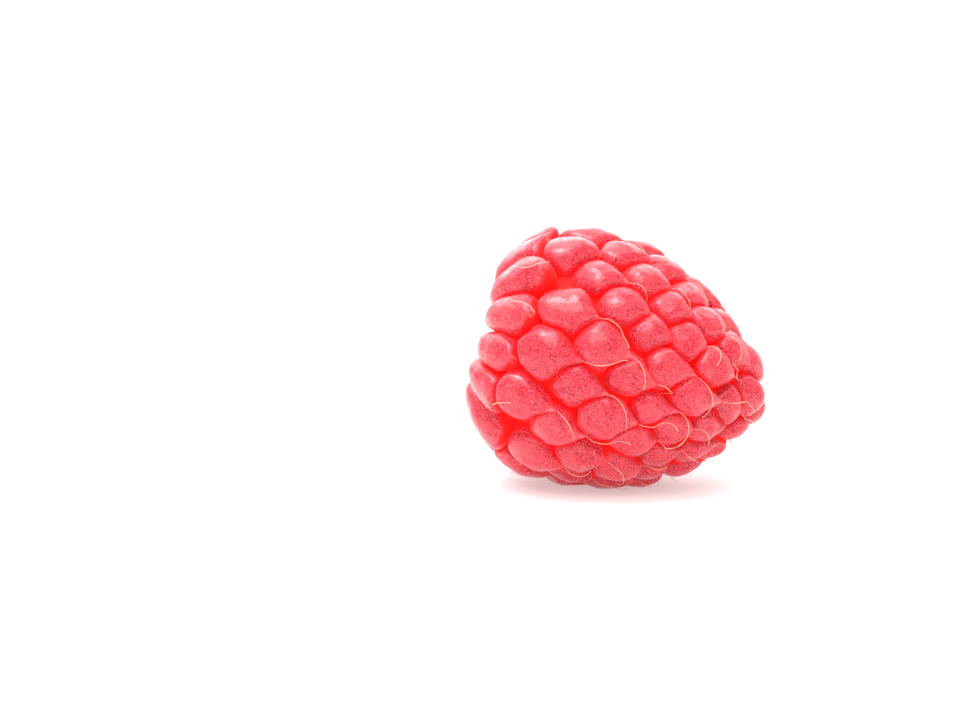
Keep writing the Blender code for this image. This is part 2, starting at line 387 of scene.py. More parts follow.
def flesh_radius(x):
    """The flesh's outer radius."""
    curl = max(0.0, 1 - (x - FLESH_START_X) / FLESH_CURL_LENGTH) ** 2
    return bed_radius(x) - FLESH_CURL * curl


def as_it_lies():
    """Carries the berry's own frame to where it lies."""
    return (
        Matrix.Translation(MOUTH_CENTRE)
        @ Matrix.Rotation(TIP_DOWN, 4, "Y")
        @ Matrix.Rotation(ROLL, 4, "X")
    )


def flesh_object():
    """The cup of flesh round the hollow: its profile, spun round the berry's axis."""
    shares = [math.sin(math.pi / 2 * step / PROFILE_STEPS) for step in range(PROFILE_STEPS + 1)]
    inner_xs = [FLESH_START_X + (HOLLOW_DEPTH - FLESH_START_X) * share for share in shares]
    outer_xs = [FLESH_START_X + (BED_TIP_X - FLESH_START_X) * share for share in shares[:-1]]
    inner = [Vector((x, 0, hollow_radius(x))) for x in inner_xs]
    outer = [Vector((x, 0, flesh_radius(x))) for x in outer_xs]
    profile = inner[::-1] + outer + [Vector((BED_TIP_X, 0, 0))]
    mesh = bpy.data.meshes.new("flesh")
    solid = bmesh.new()
    corners = [solid.verts.new(point) for point in profile]
    edges = [solid.edges.new(pair) for pair in zip(corners, corners[1:])]
    bmesh.ops.spin(
        solid,
        geom=corners + edges,
        cent=(0, 0, 0),
        axis=(1, 0, 0),
        angle=math.tau,
        steps=FLESH_SIDES,
        use_merge=True,
    )
    bmesh.ops.remove_doubles(solid, verts=solid.verts, dist=0.001 * MM)
    bmesh.ops.recalc_face_normals(solid, faces=solid.faces)
    bmesh.ops.transform(solid, matrix=as_it_lies(), verts=solid.verts)
    solid.to_mesh(mesh)
    solid.free()
    return bpy.data.objects.new("flesh", mesh)


# ---- Trees of nodes ----


class Wire:
    """A socket that gives a number or a vector. Arithmetic on it adds the nodes that work it out."""

    def __init__(self, net, socket):
        self.net = net
        self.socket = socket

    def __add__(self, other):
        return self.net.sum("ADD", self, other)

    def __radd__(self, other):
        return self.net.sum("ADD", other, self)

    def __sub__(self, other):
        return self.net.sum("SUBTRACT", self, other)

    def __rsub__(self, other):
        return self.net.sum("SUBTRACT", other, self)

    def __mul__(self, other):
        return self.net.sum("MULTIPLY", self, other)

    def __rmul__(self, other):
        return self.net.sum("MULTIPLY", other, self)

    def __truediv__(self, other):
        return self.net.sum("DIVIDE", self, other)

    def __rtruediv__(self, other):
        return self.net.sum("DIVIDE", other, self)

    def __pow__(self, other):
        return self.net.sum("POWER", self, other)


def is_vector(term):
    """Whether a wire or a constant is a vector."""
    if isinstance(term, Wire):
        return term.socket.type in ("VECTOR", "RGBA")
    return not isinstance(term, (int, float))


class Net:
    """A tree of nodes in the making: a shape's, or a finish's."""

    def __init__(self, tree):
        self.tree = tree

    def node(self, kind, settings=None, sockets=None):
        """Adds a node: first its settings, then the values or wires of its sockets, by name or number."""
        node = self.tree.nodes.new(kind)
        for name, value in (settings or {}).items():
            setattr(node, name, value)
        for name, value in (sockets or {}).items():
            self.fill(node.inputs[name], value)
        return node

    def fill(self, socket, value):
        """Sets a socket, or links a wire to it."""
        if isinstance(value, Wire):
            self.tree.links.new(value.socket, socket)
        else:
            socket.default_value = value

    def wire(self, kind, settings=None, sockets=None, out=0):
        """Adds a node and gives one of its outputs."""
        return Wire(self, self.node(kind, settings, sockets).outputs[out])

    def sum(self, operation, *terms):
        """One step of arithmetic. A number times a vector scales it."""
        vectors = [is_vector(term) for term in terms]
        settings = {"operation": operation}
        if not any(vectors):
            return self.wire("ShaderNodeMath", settings, dict(enumerate(terms)))
        if operation == "MULTIPLY" and not all(vectors):
            vector, number = terms if vectors[0] else terms[::-1]
            sockets = {"Vector": vector, "Scale": number}
            return self.wire("ShaderNodeVectorMath", {"operation": "SCALE"}, sockets)
        return self.wire("ShaderNodeVectorMath", settings, dict(enumerate(terms)))

    def dot(self, a, b):
        settings = {"operation": "DOT_PRODUCT"}
        return self.wire("ShaderNodeVectorMath", settings, {0: a, 1: b}, "Value")

    def length(self, vector):
        settings = {"operation": "LENGTH"}
        return self.wire("ShaderNodeVectorMath", settings, {0: vector}, "Value")

    def unit(self, vector):
        return self.wire("ShaderNodeVectorMath", {"operation": "NORMALIZE"}, {0: vector})

    def greater(self, a, b):
        return self.sum("MAXIMUM", a, b)

    def lesser(self, a, b):
        return self.sum("MINIMUM", a, b)

    def ease(self, value, start, end):
        """Runs smoothly from 0, where value is at start, to 1 at end."""
        settings = {"interpolation_type": "SMOOTHSTEP"}
        sockets = {"Value": value, "From Min": start, "From Max": end}
        return self.wire("ShaderNodeMapRange", settings, sockets)

    def parts(self, vector):
        """A vector's x, y and z."""
        node = self.node("ShaderNodeSeparateXYZ", None, {"Vector": vector})
        return [Wire(self, output) for output in node.outputs]

    def noise(self, place, size, detail=2.0, roughness=0.5):
        """Noise from 0 to 1 about a size across."""
        sockets = {"Vector": place, "Scale": 1 / size, "Detail": detail, "Roughness": roughness}
        return self.wire("ShaderNodeTexNoise", None, sockets)

    def mixed(self, share, a, b):
        """Colour a with a share of colour b."""
        return self.wire("ShaderNodeMix", {"data_type": "RGBA"}, {0: share, 6: a, 7: b}, 2)

    def ramp(self, share, stops):
        """A colour that runs on from stop to stop, each a share and a colour."""
        node = self.node("ShaderNodeValToRGB", None, {0: share})
        elements = node.color_ramp.elements
        while len(elements) < len(stops):
            elements.new(1.0)
        for element, (place, colour) in zip(elements, stops):
            element.position = place
            element.color = colour
        return Wire(self, node.outputs[0])

    def read(self, name):
        """The number that the piece keeps under a name."""
        return self.wire("ShaderNodeAttribute", {"attribute_name": name}, None, "Fac")

    def here(self):
        """The place on the piece."""
        return self.wire("ShaderNodeTexCoord", None, None, "Object")


class Shape(Net):
    """The tree that grows one piece from a starting mesh."""

    def __init__(self, name):
        super().__init__(bpy.data.node_groups.new(name, "GeometryNodeTree"))
        self.tree.interface.new_socket("Geometry", in_out="INPUT", socket_type="NodeSocketGeometry")
        self.tree.interface.new_socket("Geometry", in_out="OUTPUT", socket_type="NodeSocketGeometry")
        self.given_node = self.tree.nodes.new("NodeGroupInput")
        self.sizes = {}

    def start(self):
        """The starting mesh."""
        return Wire(self, self.given_node.outputs[0])

    def given(self, name, kind, value):
        """A named input, and the value that this berry has for it."""
        socket = self.tree.interface.new_socket(name, in_out="INPUT", socket_type="NodeSocket" + kind)
        self.sizes[socket.identifier] = value
        return Wire(self, self.given_node.outputs[name])

    def own(self, name, kind="FLOAT"):
        """An attribute of the geometry that it is read on."""
        return self.wire("GeometryNodeInputNamedAttribute", {"data_type": kind}, {"Name": name})

    def place(self):
        return self.wire("GeometryNodeInputPosition")

    def keep(self, geometry, name, value, kind="FLOAT", where=True):
        """Stores an attribute on points, or on those of them where a wire is true."""
        settings = {"data_type": kind, "domain": "POINT"}
        sockets = {"Geometry": geometry, "Selection": where, "Name": name, "Value": value}
        return self.wire("GeometryNodeStoreNamedAttribute", settings, sockets)

    def moved(self, geometry, position):
        sockets = {"Geometry": geometry, "Position": position}
        return self.wire("GeometryNodeSetPosition", None, sockets)

    def random(self, low, high, seed):
        """A random number for each point."""
        sockets = {2: low, 3: high, "Seed": seed}
        return self.wire("FunctionNodeRandomValue", {"data_type": "FLOAT"}, sockets, 1)

    def random_vector(self, seed):
        """A random vector in the cube of half-side 1 for each point."""
        sockets = {0: (-1, -1, -1), 1: (1, 1, 1), "Seed": seed}
        return self.wire("FunctionNodeRandomValue", {"data_type": "FLOAT_VECTOR"}, sockets, 0)

    def loop(self, count, items):
        """A Repeat Zone: items are its sockets' names and kinds beside the geometry. Gives both ends."""
        begin = self.tree.nodes.new("GeometryNodeRepeatInput")
        end = self.tree.nodes.new("GeometryNodeRepeatOutput")
        begin.pair_with_output(end)
        for name, kind in items.items():
            end.repeat_items.new(kind, name)
        self.fill(begin.inputs["Iterations"], count)
        return begin, end

    def finish(self, geometry, finish):
        """Ends the tree: real geometry, with its material."""
        real = self.wire("GeometryNodeRealizeInstances", None, {"Geometry": geometry})
        sockets = {"Geometry": real, "Material": finish}
        made = self.wire("GeometryNodeSetMaterial", None, sockets)
        out = self.tree.nodes.new("NodeGroupOutput")
        self.fill(out.inputs[0], made)

    def grow(self, name, start):
        """The object that the tree makes from the starting mesh, as a plain mesh."""
        obj = bpy.data.objects.new(name, start)
        bpy.context.scene.collection.objects.link(obj)
        modifier = obj.modifiers.new("Growth", "NODES")
        modifier.node_group = self.tree
        for identifier, value in self.sizes.items():
            modifier[identifier] = value
        graph = bpy.context.evaluated_depsgraph_get()
        result = bpy.data.meshes.new_from_object(
            obj.evaluated_get(graph), preserve_all_data_layers=True, depsgraph=graph
        )
        obj.modifiers.clear()
        obj.data = result
        result.name = name
        return obj


def store(mesh, name, values):
    """Gives each point of a mesh its own number or vector."""
    if isinstance(values[0], Vector):
        attribute = mesh.attributes.new(name, "FLOAT_VECTOR", "POINT")
        attribute.data.foreach_set("vector", [part for value in values for part in value])
    else:
        attribute = mesh.attributes.new(name, "FLOAT", "POINT")
        attribute.data.foreach_set("value", values)


# ---- Drupelets ----


def seats_mesh(drupelets, draw):
    """A point at each drupelet's centre, where it lies, that carries its axes and sizes."""
    lying = as_it_lies()
    turn = lying.to_3x3()
    mesh = bpy.data.meshes.new("seats")
    mesh.from_pydata([lying @ drupelet.centre for drupelet in drupelets], [], [])
    for column, name in enumerate(("tipwards", "sideways", "outwards")):
        store(mesh, name, [turn @ drupelet.frame.col[column] for drupelet in drupelets])
    for name in ("half_width", "half_length", "dome", "root", "reach"):
        store(mesh, name, [getattr(drupelet, name) for drupelet in drupelets])
    traits = {name: [] for name in ("ripeness", "taper", "slant", "fore", "back", "turned_in", "pointed")}
    for number, drupelet in enumerate(drupelets):
        on_rim = number < RIM_COUNT
        at_tip = drupelet.centre.x > BED_TIP_X - BLUNT_REACH
        in_first_row = not on_rim and drupelet.centre.x < FIRST_ROW_X
        traits["ripeness"].append(draw.random())
        traits["taper"].append(RIM_TAPER if on_rim else draw.uniform(*TAPER))
        traits["slant"].append(0.0 if on_rim else SLANT)
        traits["fore"].append(RIM_STRETCH if on_rim else 0.0)
        traits["back"].append(FIRST_ROW_STRETCH if in_first_row else 0.0)
        traits["turned_in"].append(RIM_SHOWN if on_rim else 0.0)
        traits["pointed"].append(BLUNT if on_rim or at_tip else draw.uniform(*POINTED))
    for name, values in traits.items():
        store(mesh, name, values)
    return mesh


def pressed(net, seats, offset, count):
    """How hard neighbours press on the point at offset from a drupelet's centre: 1 where not at all.

    Each neighbour is a flat wall between the two centres, nearer the smaller of them. The walls
    blend into the dome as the terms of one high-power mean do.
    """
    sharpness = net.given("Sharpness", "Float", float(SHARPNESS))
    overlap = net.given("Overlap", "Float", OVERLAP)
    centre = net.own("centre", "FLOAT_VECTOR")
    reach = net.own("reach")
    begin, end = net.loop(count, {"Total": "FLOAT"})
    net.fill(begin.inputs["Total"], 1.0)
    step = Wire(net, begin.outputs["Iteration"])
    total = Wire(net, begin.outputs["Total"])
    sockets = {"Geometry": seats, "Value": net.place(), "Index": step}
    other = net.wire("GeometryNodeSampleIndex", {"data_type": "FLOAT_VECTOR"}, sockets)
    sockets = {"Geometry": seats, "Value": reach, "Index": step}
    other_reach = net.wire("GeometryNodeSampleIndex", {"data_type": "FLOAT"}, sockets)
    between = other - centre
    wall = overlap * reach / (reach + other_reach) * net.dot(between, between)
    press = net.greater(0.0, net.dot(offset, between) / wall)
    net.fill(end.inputs["Total"], total + press**sharpness)
    return Wire(net, end.outputs["Total"]), sharpness


def hollow_wall(net, point):
    """1 on the hollow's wall, fading to 0 outside it, at the mouth and beyond its end."""
    from_mouth = point - net.given("Mouth centre", "Vector", MOUTH_CENTRE)
    axis = net.given("Axis", "Vector", as_it_lies().to_3x3() @ Vector((1, 0, 0)))
    along = net.dot(from_mouth, axis)
    out = net.length(from_mouth - axis * along) - MOUTH_RADIUS
    out = out + (MOUTH_RADIUS - HOLLOW_END_RADIUS) * along / HOLLOW_DEPTH
    within = net.ease(out, *WALL_FADE) * net.ease(along, *MOUTH_FADE)
    return within * net.ease(along, *END_FADE)


def drupelets_piece(seats, flesh, count, finish):
    """All the drupelets and the flesh, fused into one skin.

    Each drupelet is a ball of radius 1 in its own frame, where along, across and up are from -1 to 1.
    It is drawn out to its size, pressed by its neighbours, given its beak and dents, and fused.
    """
    net = Shape("Drupelets")
    crease_depth = net.given("Crease depth", "Float", CREASE_DEPTH)
    beak = net.given("Beak", "Float", BEAK)
    cup = net.given("Flesh", "Object", flesh)
    sides = net.given("Sides", "Int", SIDES)
    rings = net.given("Rings", "Int", RINGS)
    points = net.keep(net.start(), "centre", net.place(), "FLOAT_VECTOR")
    points = net.keep(points, "seat", net.wire("GeometryNodeInputIndex"))
    ball_sizes = {"Segments": sides, "Rings": rings, "Radius": 1.0}
    ball = net.wire("GeometryNodeMeshUVSphere", None, ball_sizes)
    balls = net.wire("GeometryNodeInstanceOnPoints", None, {"Points": points, "Instance": ball})
    loose = net.wire("GeometryNodeRealizeInstances", None, {"Geometry": balls})

    centre = net.own("centre", "FLOAT_VECTOR")
    tipwards = net.own("tipwards", "FLOAT_VECTOR")
    sideways = net.own("sideways", "FLOAT_VECTOR")
    outwards = net.own("outwards", "FLOAT_VECTOR")
    on_ball = net.place() - centre
    along, across, up = net.parts(on_ball)
    width = net.own("half_width") * (1 - net.own("taper") * net.greater(0.0, along) ** 2.0)
    height = net.greater(0.0, up) * net.own("dome") * (1 + along * net.own("slant"))
    height = height + net.lesser(0.0, up) * net.own("root")
    stretch = 1 + net.own("fore") * net.greater(0.0, along) - net.own("back") * net.lesser(0.0, along)
    offset = tipwards * (along * net.own("half_length") * stretch) + sideways * (across * width)
    offset = offset + outwards * height
    total, sharpness = pressed(net, points, offset, count)
    closeness = ((total - 1) / total) ** (1 / sharpness)
    drawn_in = 1 - crease_depth * net.ease(closeness, *DRAWN_IN) * net.ease(up, *OUTER_SIDE)
    from_beak = net.length(on_ball - BEAK_AT)
    pull = beak * (1 - net.ease(from_beak, 0.0, BEAK_WIDTH)) ** 2.0
    pull = (pull + RIDGE * (1 - net.ease(from_beak, 0.0, RIDGE_WIDTH))) * net.own("pointed")
    here = centre + offset
    dents = DENT * (net.noise(here, DENT_SIZE, 1.0) - 0.5)
    dents = dents + PUCKER * (net.noise(here, PUCKER_SIZE, 1.0) - 0.5)
    place = centre + offset * (total ** (-1 / sharpness) * drawn_in)
    place = place + outwards * (dents + pull * BEAK_LIFT) + tipwards * pull
    sockets = {"Vector": here, "Scale": 1 / DRIFT_SIZE, "Detail": 1.0}
    drift = (net.wire("ShaderNodeTexNoise", None, sockets, "Color") - (0.5, 0.5, 0.5)) * DRIFT
    place = place + drift - outwards * net.dot(drift, outwards)
    shown = up - net.own("turned_in") * net.lesser(0.0, along)
    # Where the skin turns a crease's red: in the creases, and low on a drupelet's side where shade would
    # fall. The red is partly painted glow.
    crease = net.greater(net.ease(closeness, *CREASED), net.ease(shown, *RED_BELOW))
    crease = net.greater(crease, net.ease(up, *RED_BELOW_IN_FRONT) * net.ease(along, *IN_FRONT))
    x, y, z = net.parts(place)
    rested = net.wire("ShaderNodeCombineXYZ", None, {"X": x, "Y": y, "Z": net.greater(0.0, z)})
    kept = net.keep(loose, "next_place", rested, "FLOAT_VECTOR")
    kept = net.keep(kept, "crease", crease)
    kept = net.keep(kept, "beak", 1 - net.ease(from_beak, 0.0, BEAK_MARK))
    kept = net.keep(kept, "wall", hollow_wall(net, rested))
    shaped = net.moved(kept, net.own("next_place", "FLOAT_VECTOR"))
    sockets = {"Geometry": shaped, "Group ID": net.own("seat", "INT")}
    each = net.wire("GeometryNodeSplitToInstances", {"domain": "POINT"}, sockets)
    core = net.wire("GeometryNodeObjectInfo", None, {"Object": cup}, "Geometry")
    core = net.keep(core, "crease", 1.0)
    core = net.keep(core, "wall", hollow_wall(net, net.place()))
    fused = net.node("GeometryNodeMeshBoolean", {"operation": "UNION", "solver": "MANIFOLD"})
    net.tree.links.new(each.socket, fused.inputs["Mesh 2"])
    net.tree.links.new(core.socket, fused.inputs["Mesh 2"])
    whole = Wire(net, fused.outputs["Mesh"])
    # The points that the union adds on a seam carry no numbers, so their axes have no length.
    seam = 1 - net.ease(net.length(tipwards), 0.1, 0.5)
    whole = net.keep(whole, "crease", net.greater(net.own("crease"), seam))
    smooth = net.wire("GeometryNodeSetShadeSmooth", {"domain": "FACE"}, {"Geometry": whole})
    angle = net.wire("GeometryNodeInputMeshEdgeAngle")
    sharp = net.wire("FunctionNodeCompare", {"operation": "GREATER_THAN"}, {0: angle, 1: CREASE_ANGLE})
    sockets = {"Geometry": smooth, "Selection": sharp, "Shade Smooth": False}
    creased = net.wire("GeometryNodeSetShadeSmooth", {"domain": "EDGE"}, sockets)
    net.finish(creased, finish)
    berry = net.grow("drupelets", seats)
    drop_flaps(berry.data)
    return berry


def drop_flaps(mesh):
    """Dissolves the vertices of a seam where only two edges meet. Triangles would fold flat over them."""
    solid = bmesh.new()
    solid.from_mesh(mesh)
    spare = [vertex for vertex in solid.verts if len(vertex.link_edges) == 2]
    bmesh.ops.dissolve_verts(solid, verts=spare)
    solid.to_mesh(mesh)
    solid.free()


# ---- Styles ----


def beak_points(berry):
    """The vertex of each drupelet that is nearest to the point of its beak, by the drupelet's number."""
    seats = berry.data.attributes["seat"].data
    beaks = berry.data.attributes["beak"].data
    found = {}
    for vertex in berry.data.vertices:
        number = round(seats[vertex.index].value)
        nearness = beaks[vertex.index].value
        if nearness > found.get(number, (BEAK_SHOWS, None))[0]:
            found[number] = (nearness, vertex.co.copy())
    return {number: point for number, (_, point) in found.items()}


def style_roots(berry, drupelets, draw):
    """A point on the beak of each drupelet that has kept its style, with how that style grows."""
    turn = as_it_lies().to_3x3()
    down = Vector((0, 0, -1))
    roots = []
    for number, point in sorted(beak_points(berry).items()):
        tipwards, sideways, outwards = (turn @ column for column in drupelets[number].frame.transposed())
        share = RIM_STYLE_SHARE if number < RIM_COUNT else STYLE_SHARE
        if drupelets[number].centre.x > BED_TIP_X - TIP_STYLE_REACH:
            share = TIP_STYLE_SHARE
        kept = draw.random() < share
        astray = draw.uniform(-STYLE_ASTRAY, STYLE_ASTRAY)
        heading = tipwards * STYLE_TIPWARDS + outwards * STYLE_OUTWARDS + sideways * astray
        side = -1 if draw.random() < UPWARD_SHARE else 1
        tilt = draw.uniform(-STYLE_TILT, STYLE_TILT)
        axis = heading.cross(down + sideways * tilt).normalized() * side
        length = draw.uniform(*STYLE_LENGTH)
        curl = draw.uniform(*STYLE_CURL)
        hook = draw.uniform(*STYLE_HOOK)
        withered = draw.random()
        if kept:
            roots.append((point, heading.normalized(), axis, length, curl, hook, withered))
    points, *traits = zip(*roots)
    mesh = bpy.data.meshes.new("style_roots")
    mesh.from_pydata(points, [], [])
    names = ("heading", "curl_axis", "style_length", "curl", "hook", "withered")
    for name, values in zip(names, traits):
        store(mesh, name, values)
    return mesh


def kept_off(net, body, point, clearance, most):
    """The point, pushed off the drupelets to a clearance, or drawn back to the most that it may have."""
    sockets = {"Mesh": body, "Value": net.wire("GeometryNodeInputNormal"), "Sample Position": point}
    normal = net.wire("GeometryNodeSampleNearestSurface", {"data_type": "FLOAT_VECTOR"}, sockets)
    sockets = {"Geometry": body, "Sample Position": point}
    nearest = net.wire("GeometryNodeProximity", {"target_element": "FACES"}, sockets)
    height = net.dot(point - nearest, normal)
    lacking = net.greater(0.0, clearance - height)
    return point + normal * (lacking - net.greater(0.0, height - most))


def styles_piece(roots, berry, finish):
    """The styles: each grows step by step from its beak, curls, and keeps clear of the drupelets."""
    net = Shape("Styles")
    skin = net.given("Drupelets", "Object", berry)
    steps = net.given("Steps", "Int", STYLE_STEPS)
    clearance = net.given("Clearance", "Float", STYLE_CLEARANCE)
    most = net.given("Reach", "Float", STYLE_REACH)
    radius = net.given("Radius", "Float", STYLE_RADIUS)
    sag = net.given("Sag", "Float", STYLE_SAG)
    body = net.wire("GeometryNodeObjectInfo", None, {"Object": skin}, "Geometry")
    begin, end = net.loop(steps, {"Front": "BOOLEAN"})
    rooted = net.keep(net.start(), "along", 0.0)
    net.fill(begin.inputs["Geometry"], rooted)
    net.fill(begin.inputs["Front"], True)
    step = Wire(net, begin.outputs["Iteration"])
    front = Wire(net, begin.outputs["Front"])
    grown = Wire(net, begin.outputs["Geometry"])
    share = step / steps
    heading = net.own("heading", "FLOAT_VECTOR")
    bend = (net.own("curl") * (1 - share) + net.own("hook") * share) / steps
    turned = net.wire(
        "ShaderNodeVectorRotate",
        {"rotation_type": "AXIS_ANGLE"},
        {"Vector": heading, "Axis": net.own("curl_axis", "FLOAT_VECTOR"), "Angle": bend},
    )
    wander = net.random_vector(7) * STYLE_WANDER
    headed = net.unit(turned + wander + (0, 0, -1) * sag)
    reached = net.place() + headed * (net.own("style_length") / steps)
    freed = reached
    for _ in range(FREEING_ROUNDS):
        freed = kept_off(net, body, freed, clearance * net.lesser(1.0, share * STYLE_RISE), most)
    x, y, z = net.parts(freed)
    lowest = net.greater(clearance, z)
    freed = net.wire("ShaderNodeCombineXYZ", None, {"X": x, "Y": y, "Z": lowest})
    stepped = net.keep(grown, "stride", freed - net.place(), "FLOAT_VECTOR")
    stride = net.own("stride", "FLOAT_VECTOR")
    stepped = net.keep(stepped, "heading", net.unit(stride), "FLOAT_VECTOR")
    sockets = {"Mesh": stepped, "Selection": front, "Offset": stride}
    longer = net.node("GeometryNodeExtrudeMesh", {"mode": "VERTICES"}, sockets)
    top = Wire(net, longer.outputs["Top"])
    marked = net.keep(Wire(net, longer.outputs["Mesh"]), "along", (step + 1) / steps, "FLOAT", top)
    net.fill(end.inputs["Geometry"], marked)
    net.fill(end.inputs["Front"], top)
    threads = net.wire("GeometryNodeMeshToCurve", None, {"Mesh": Wire(net, end.outputs["Geometry"])})
    along = net.own("along")
    taper = 1 - STYLE_TAPER + STYLE_TAPER * (1 - along)
    taper = taper + ROOT_FLARE * (1 - net.ease(along, 0.0, ROOT_SHARE))
    taper = taper + END_FLARE * net.ease(along, 1 - END_SHARE, 1.0)
    threads = net.wire("GeometryNodeSetCurveRadius", None, {"Curve": threads, "Radius": taper})
    ring = net.wire("GeometryNodeCurvePrimitiveCircle", None, {"Resolution": 6, "Radius": radius})
    sockets = {"Curve": threads, "Profile Curve": ring, "Scale": taper, "Fill Caps": True}
    tubes = net.wire("GeometryNodeCurveToMesh", None, sockets)
    tubes = net.wire("GeometryNodeSetShadeSmooth", None, {"Geometry": tubes})
    net.finish(tubes, finish)
    return net.grow("styles", roots)


# ---- Down ----


def down_piece(berry, finish):
    """The down: straight fine hairs that stand or lean off the drupelets."""
    net = Shape("Down")
    density = net.given("Density", "Float", DOWN_PER_SQUARE_METRE)
    length = net.given("Length", "Float", DOWN_LENGTH)
    radius = net.given("Radius", "Float", DOWN_RADIUS)
    seed = net.given("Seed", "Int", SEED)
    sockets = {"Mesh": net.start(), "Density": density, "Seed": seed}
    spread = net.node("GeometryNodeDistributePointsOnFaces", {"distribute_method": "RANDOM"}, sockets)
    points = Wire(net, spread.outputs["Points"])
    normal = Wire(net, spread.outputs["Normal"])
    lean = net.unit(normal + net.random_vector(3) * DOWN_LEAN)
    turn = net.wire("FunctionNodeAlignRotationToVector", {"axis": "Z"}, {"Vector": lean})
    sockets = {
        "Vertices": 3,
        "Side Segments": 1,
        "Radius Top": 0.0,
        "Radius Bottom": radius,
        "Depth": length,
    }
    hair = net.wire("GeometryNodeMeshCone", {"fill_type": "NGON"}, sockets)
    wall = net.own("wall")
    crease = net.own("crease")
    height = net.parts(net.place())[2]
    above = net.wire("FunctionNodeCompare", {"operation": "GREATER_THAN"}, {0: height, 1: DOWN_ABOVE})
    scale = net.random(*DOWN_SIZES, 5) * (1 + wall * HOLLOW_DOWN)
    scale = scale * (1 - crease * CREASE_BARENESS * (1 - wall))
    sockets = {
        "Points": points,
        "Selection": above,
        "Instance": hair,
        "Rotation": turn,
        "Scale": scale,
    }
    net.finish(net.wire("GeometryNodeInstanceOnPoints", None, sockets), finish)
    return net.grow("down", berry.data.copy())


# ---- Finishes ----


def finish_tree(name, sockets):
    """A new material, its tree and its shader, with the sockets that are the same all over."""
    material = bpy.data.materials.new(name)
    material.use_nodes = True
    net = Net(material.node_tree)
    shader = net.tree.nodes["Principled BSDF"]
    for socket, value in sockets.items():
        shader.inputs[socket].default_value = value
    return material, net, shader


def face_colour(net, place, crease, specks, blooms, patches):
    """The outer side's colour: dull pink-red with light and dark specks, a pale ring of painted sheen round
    each drupelet, the skin's deep red in a crease brightened as painted glow, pale at a beak.
    """
    face = net.mixed(net.read("ripeness"), UNRIPE, RIPE)
    face = net.mixed(net.ease(patches, 0.4, 0.7) * 0.5, face, PINK_PATCH)
    face = net.mixed(net.ease(specks, 0.54, 0.66) * 0.6, face, PALE_SPECK)
    # A pale band between a drupelet's face and its crease: painted sheen of the down catching the light.
    edge = net.ease(crease, 0.0, 0.3) * net.ease(crease, 0.7, 0.3)
    face = net.mixed(edge * 0.22, face, PAINTED_SHEEN_EDGE)
    dark = net.ease(specks, 0.48, 0.38) * (0.6 + 0.4 * net.ease(blooms, 0.35, 0.6))
    face = net.mixed(dark, face, DARK_SPECK)
    # Red in a crease and low on a drupelet's side: partly the skin's own deeper red, partly painted glow of
    # light come through the flesh, in place of shade.
    face = net.mixed(net.ease(crease, 0.4, 1.0), face, CREASE_RED_AND_PAINTED_GLOW)
    streaks = net.noise(place, STREAK_SIZE, 2.0)
    pale = net.ease(net.read("beak"), 0.35, 0.9) * net.ease(streaks, 0.35, 0.6)
    return net.mixed(pale * 0.55, face, PALE_BEAK)


def skin_finish():
    """The drupelets' skin, which glows red in the creases and the hollow."""
    sockets = {
        "Emission Strength": 1.0,
        "Coat Roughness": 0.15,
        "Coat IOR": 1.4,
        "Subsurface Weight": 0.6,
        "Subsurface Radius": (1.0, 0.2, 0.2),
        "Subsurface Scale": 1.2 * MM,
        "IOR": 1.4,
        "Specular IOR Level": 0.42,
        "Sheen Weight": 0.3,
        "Sheen Roughness": 0.25,
        "Sheen Tint": (1.0, 0.65, 0.68, 1),
    }
    material, net, shader = finish_tree("raspberry_skin", sockets)
    place = net.here()
    crease = net.read("crease")
    wall = net.read("wall")
    patches = net.noise(place, PATCH_SIZE)
    blooms = net.noise(place + BLOOM_SHIFT, BLOOM_SIZE, 5.0, 0.6)
    specks = net.noise(place, SPECK_SIZE, 1.0)
    face = face_colour(net, place, crease, specks, blooms, patches)
    # The hollow's wall colour: partly the flesh's own red, partly painted glow of light come through the
    # flesh.
    pith_and_painted_glow = net.mixed(net.ease(patches, 0.3, 0.7), HOLLOW_RED_AND_PAINTED_GLOW, HOLLOW_PINK_AND_PAINTED_GLOW)
    net.fill(shader.inputs["Base Color"], net.mixed(wall * 0.85, face, pith_and_painted_glow))
    glow = net.mixed(net.ease(crease, 0.2, 1.0), FACE_GLOW, CREASE_GLOW)
    net.fill(shader.inputs["Emission Color"], net.mixed(wall, glow, HOLLOW_GLOW))
    net.fill(shader.inputs["Roughness"], 0.34 + specks * 0.14 + net.greater(wall, crease) * 0.4)
    shine = (0.3 + 0.7 * net.ease(blooms, 0.6, 0.45)) * (1 - wall) * (1 - crease * 0.95)
    net.fill(shader.inputs["Coat Weight"], shine)
    grain = net.noise(place, GRAIN_SIZE, 2.0, 0.6) + net.noise(place, UNEVENNESS_SIZE) * 2.0
    bump = {"Strength": 0.4, "Distance": 0.05 * MM, "Height": grain}
    net.fill(shader.inputs["Normal"], net.wire("ShaderNodeBump", None, bump))
    # The glow is too faint to be worth tracing as a lamp.
    material.cycles.emission_sampling = "NONE"
    return material


def style_finish():
    """Styles: pink where they leave the beak, then straw, some withered brown at the end."""
    sockets = {
        "Roughness": 0.5,
        "Subsurface Weight": 0.3,
        "Subsurface Radius": (1.0, 0.6, 0.3),
        "Subsurface Scale": 0.1 * MM,
    }
    material, net, shader = finish_tree("dried_style", sockets)
    along = net.read("along")
    straw = net.ramp(along, STRAW)
    brown = net.ease(net.read("withered"), 0.72, 0.8) * net.ease(along, 0.84, 0.96)
    net.fill(shader.inputs["Base Color"], net.mixed(brown, straw, WITHERED))
    return material


def down_finish():
    """Down: nearly white, a little pink."""
    material, net, shader = finish_tree("pale_down", {"Roughness": 0.6})
    patches = net.noise(net.here(), 0.8 * MM)
    net.fill(shader.inputs["Base Color"], net.mixed(patches, PINK_DOWN, PALE_DOWN))
    return material


# ---- Studio ----


